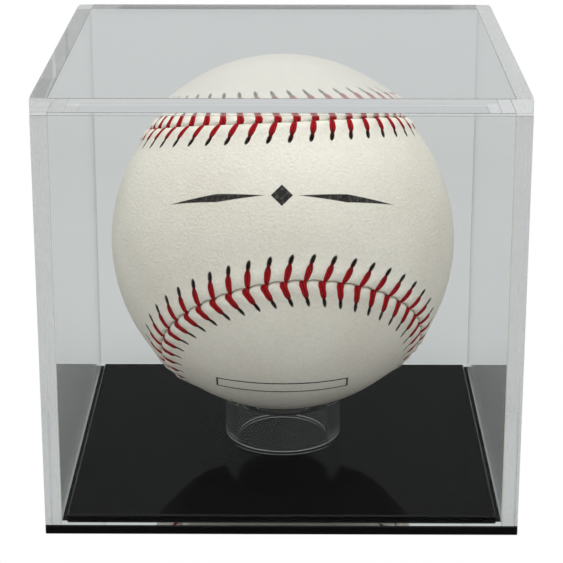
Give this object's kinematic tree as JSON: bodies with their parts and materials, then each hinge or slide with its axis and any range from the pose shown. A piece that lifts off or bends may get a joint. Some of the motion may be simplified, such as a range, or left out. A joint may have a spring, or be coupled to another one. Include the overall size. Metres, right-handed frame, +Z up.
{
  "type": "baseball display case",
  "caption": "Clear cube display case for a baseball: a lift-off acrylic cover on a black base, with a clear ring that holds the ball.",
  "frame": {"origin": "centre of the underside of the base plate", "axes": "+Z up, front plate towards -Y, +X to the viewer's right"},
  "size_m": [0.0952, 0.0952, 0.09],
  "materials": {
    "clear_acrylic": "polished clear acrylic sheet and tube",
    "black_acrylic": "polished opaque black acrylic",
    "cover_leather": "smooth off-white cowhide with a fine grain",
    "red_thread": "waxed red cotton thread",
    "nylon_yarn": "tightly wound grey-white nylon",
    "cork": "pressed cork"
  },
  "bodies": {
    "base": {"base_plate": "black_acrylic", "locating_panel": "black_acrylic", "ring_stand": "clear_acrylic"},
    "cover": {"cover_top": "clear_acrylic", "cover_front": "clear_acrylic", "cover_back": "clear_acrylic", "cover_left": "clear_acrylic", "cover_right": "clear_acrylic"},
    "ball": {"cork_centre": "cork", "nylon_winding": "nylon_yarn", "leather_panel_a": "cover_leather", "leather_panel_b": "cover_leather", "seam_stitching": "red_thread"}
  },
  "joints": [
    {"name": "cover_lift", "type": "slide", "parent": "base", "child": "cover", "axis": [0, 0, 1], "range_m": [0, 0.1]},
    {"name": "ball_turn", "type": "hinge", "parent": "base", "child": "ball", "pos_m": [0, 0, 0.04831], "axis": [0, 0, 1], "continuous": true}
  ]
}
